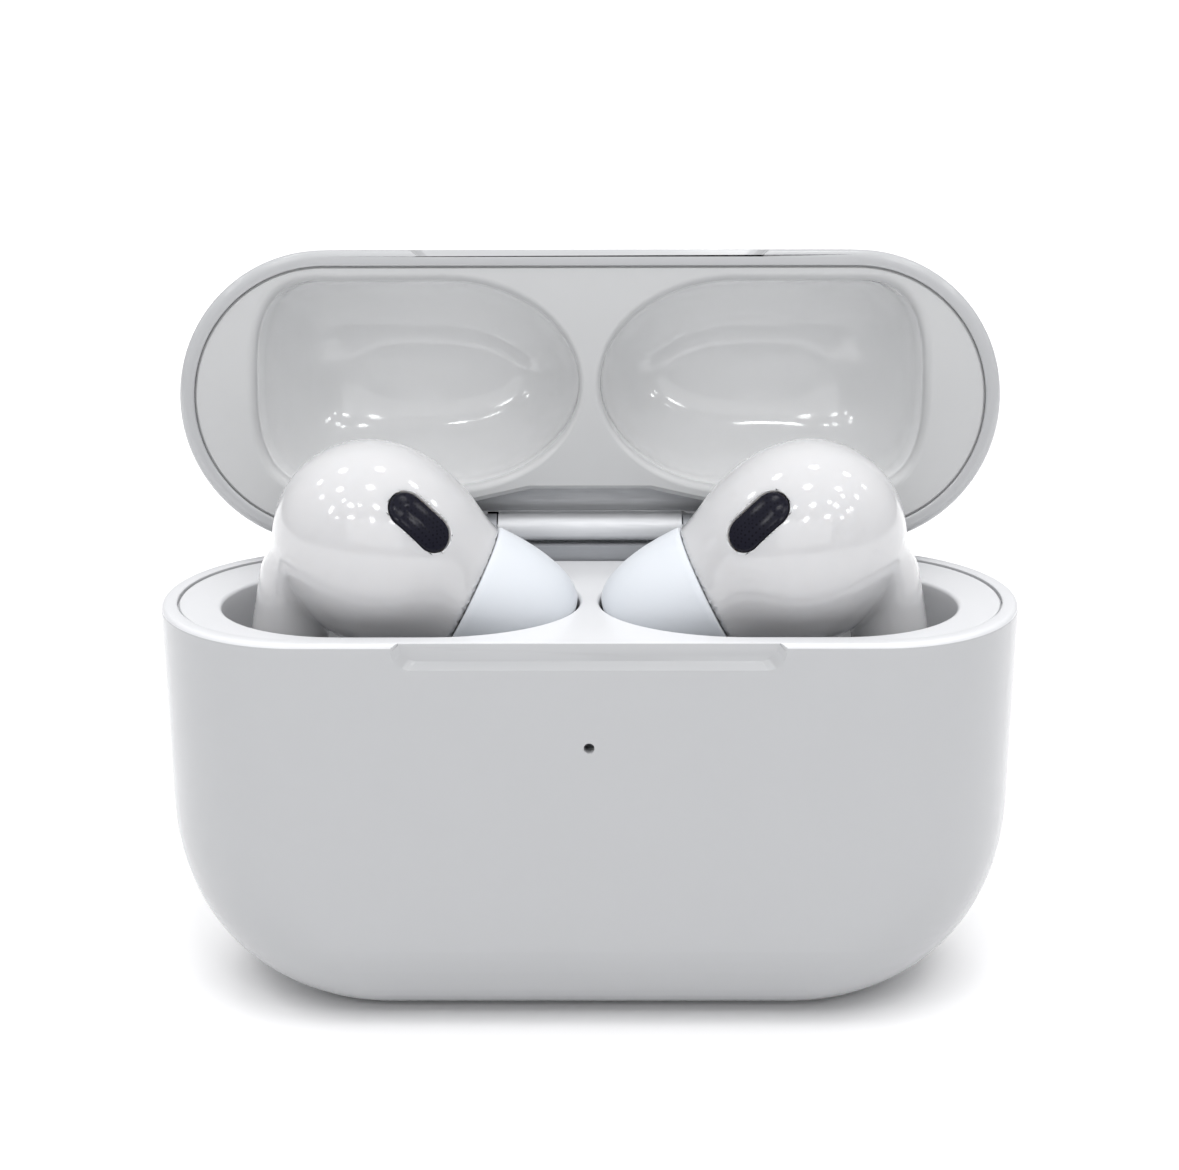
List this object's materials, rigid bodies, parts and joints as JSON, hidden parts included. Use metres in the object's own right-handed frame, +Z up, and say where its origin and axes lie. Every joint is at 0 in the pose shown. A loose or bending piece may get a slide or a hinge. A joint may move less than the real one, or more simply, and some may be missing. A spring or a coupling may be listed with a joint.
{
  "type": "wireless earbuds case",
  "caption": "Pocket charging case with a hinged lid, an inner tray and a pair of wireless earbuds that lift out of their wells.",
  "frame": {"origin": "on the surface the case stands on, under the middle of the box around the case with its lid open; the base's own middle is 7.35 mm in front of it, at y = -0.00735", "axes": "+X to the right seen from the front, +Y to the back where the hinge is, +Z up"},
  "size_m": [0.0606, 0.0364, 0.0517],
  "materials": {
    "white_gloss": "polished moulded plastic",
    "white_satin": "satin moulded plastic",
    "bud_white": "high-gloss moulded plastic",
    "silicone": "matte silicone",
    "vent_black": "black mesh behind a gloss rim",
    "steel": "satin steel",
    "gold": "gold-plated contact",
    "copper": "enamelled copper wire",
    "magnet": "nickel-plated magnet",
    "board_green": "circuit board",
    "cell_wrap": "battery wrap",
    "dark_plastic": "dark moulded plastic",
    "clear_plastic": "clear light guide"
  },
  "bodies": {
    "base": {"body_shell": "white_gloss", "earbud_tray": "white_gloss", "inlet_shell": "steel", "inlet_tongue": "dark_plastic", "battery_cell": "cell_wrap", "main_board": "board_green", "button_switch": "dark_plastic", "charging_coil": "copper", "coil_ferrite": "dark_plastic", "status_light_guide": "clear_plastic", "base_catch_magnet": "magnet", "left_retention_magnet": "magnet", "right_retention_magnet": "magnet", "left_pin_carrier": "dark_plastic", "right_pin_carrier": "dark_plastic", "hinge_body_leaf": "steel", "hinge_pin": "steel"},
    "lid": {"lid_shell": "white_gloss", "lid_liner": "white_satin", "lid_catch_magnet": "magnet", "hinge_lid_leaf": "steel"},
    "left_earbud": {"left_bud_housing": "bud_white", "left_ear_tip": "silicone", "left_bud_nozzle": "white_satin", "left_bud_screen": "dark_plastic", "left_bud_vent": "vent_black", "left_bud_driver": "steel", "left_bud_battery": "steel", "left_bud_board": "board_green", "left_contact_cap": "steel"},
    "right_earbud": {"right_bud_housing": "bud_white", "right_ear_tip": "silicone", "right_bud_nozzle": "white_satin", "right_bud_screen": "dark_plastic", "right_bud_vent": "vent_black", "right_bud_driver": "steel", "right_bud_battery": "steel", "right_bud_board": "board_green", "right_contact_cap": "steel"},
    "button": {"setup_button": "white_gloss"},
    "left_inner_pin": {"left_inner_charge_pin": "gold"},
    "left_outer_pin": {"left_outer_charge_pin": "gold"},
    "right_inner_pin": {"right_inner_charge_pin": "gold"},
    "right_outer_pin": {"right_outer_charge_pin": "gold"}
  },
  "joints": [
    {"name": "lid_hinge", "type": "hinge", "parent": "base", "child": "lid", "pos_m": [0, 0.0024, 0.0311], "axis": [-1, 0, 0], "range_deg": [-98.2, 0]},
    {"name": "left_earbud_lift", "type": "slide", "parent": "base", "child": "left_earbud", "axis": [0, 0, 1], "range_m": [0, 0.036]},
    {"name": "right_earbud_lift", "type": "slide", "parent": "base", "child": "right_earbud", "axis": [0, 0, 1], "range_m": [0, 0.036]},
    {"name": "setup_button_press", "type": "slide", "parent": "base", "child": "button", "axis": [0, -1, 0], "range_m": [0, 0.0003], "stiffness_N_per_m": 900},
    {"name": "left_inner_pin_press", "type": "slide", "parent": "base", "child": "left_inner_pin", "axis": [0, 0, 1], "range_m": [-0.0004, 0], "stiffness_N_per_m": 150},
    {"name": "left_outer_pin_press", "type": "slide", "parent": "base", "child": "left_outer_pin", "axis": [0, 0, 1], "range_m": [-0.0004, 0], "stiffness_N_per_m": 150},
    {"name": "right_inner_pin_press", "type": "slide", "parent": "base", "child": "right_inner_pin", "axis": [0, 0, 1], "range_m": [-0.0004, 0], "stiffness_N_per_m": 150},
    {"name": "right_outer_pin_press", "type": "slide", "parent": "base", "child": "right_outer_pin", "axis": [0, 0, 1], "range_m": [-0.0004, 0], "stiffness_N_per_m": 150}
  ]
}
